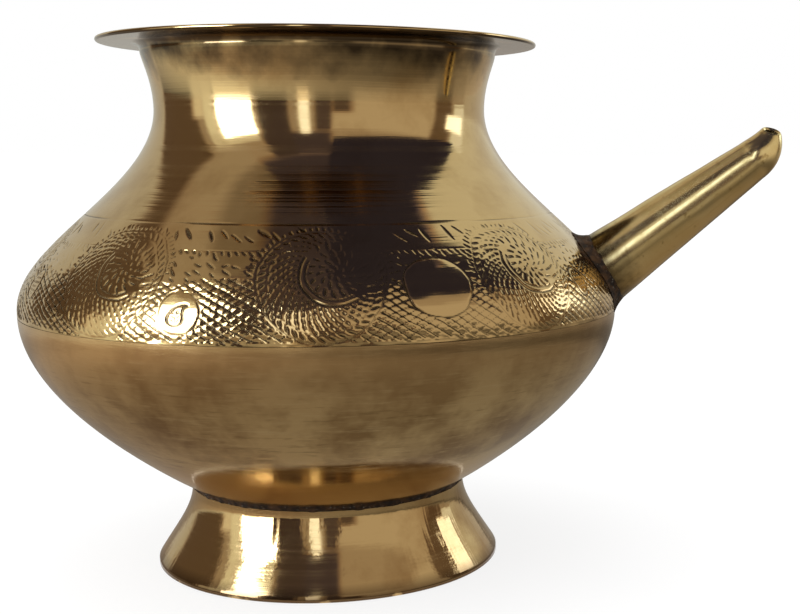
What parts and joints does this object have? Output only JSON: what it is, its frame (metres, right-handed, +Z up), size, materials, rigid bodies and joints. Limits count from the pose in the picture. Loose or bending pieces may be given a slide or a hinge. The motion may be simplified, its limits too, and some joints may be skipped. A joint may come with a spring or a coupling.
{
  "type": "spouted water pot",
  "caption": "Round-bellied brass water pot with a flanged mouth, waisted neck, engraved shoulder, flared foot and a tapered pouring spout.",
  "frame": {"origin": "middle of the whole pot's length and width, on the surface that the foot stands on; the axis of the turned body is 16.2 mm towards -X of it", "axes": "+X the way the spout points, +Z up along the turned body's axis"},
  "size_m": [0.1504, 0.118, 0.1038],
  "materials": {
    "polished_brass": "turned and polished, with fine turning lines",
    "satin_brass": "satin, emery-finished round the bowl",
    "aged_brass": "hand-filed and dulled",
    "braze": "rough braze, as run",
    "dark_solder": "oxidised hard solder, as run"
  },
  "bodies": {
    "root": {"neck_and_shoulder": "polished_brass", "lower_bowl": "satin_brass", "belly_braze_ring": "braze", "foot_ring": "polished_brass", "foot_solder_ring": "dark_solder", "spout_tube": "aged_brass", "spout_solder_fillet": "dark_solder"}
  },
  "joints": []
}
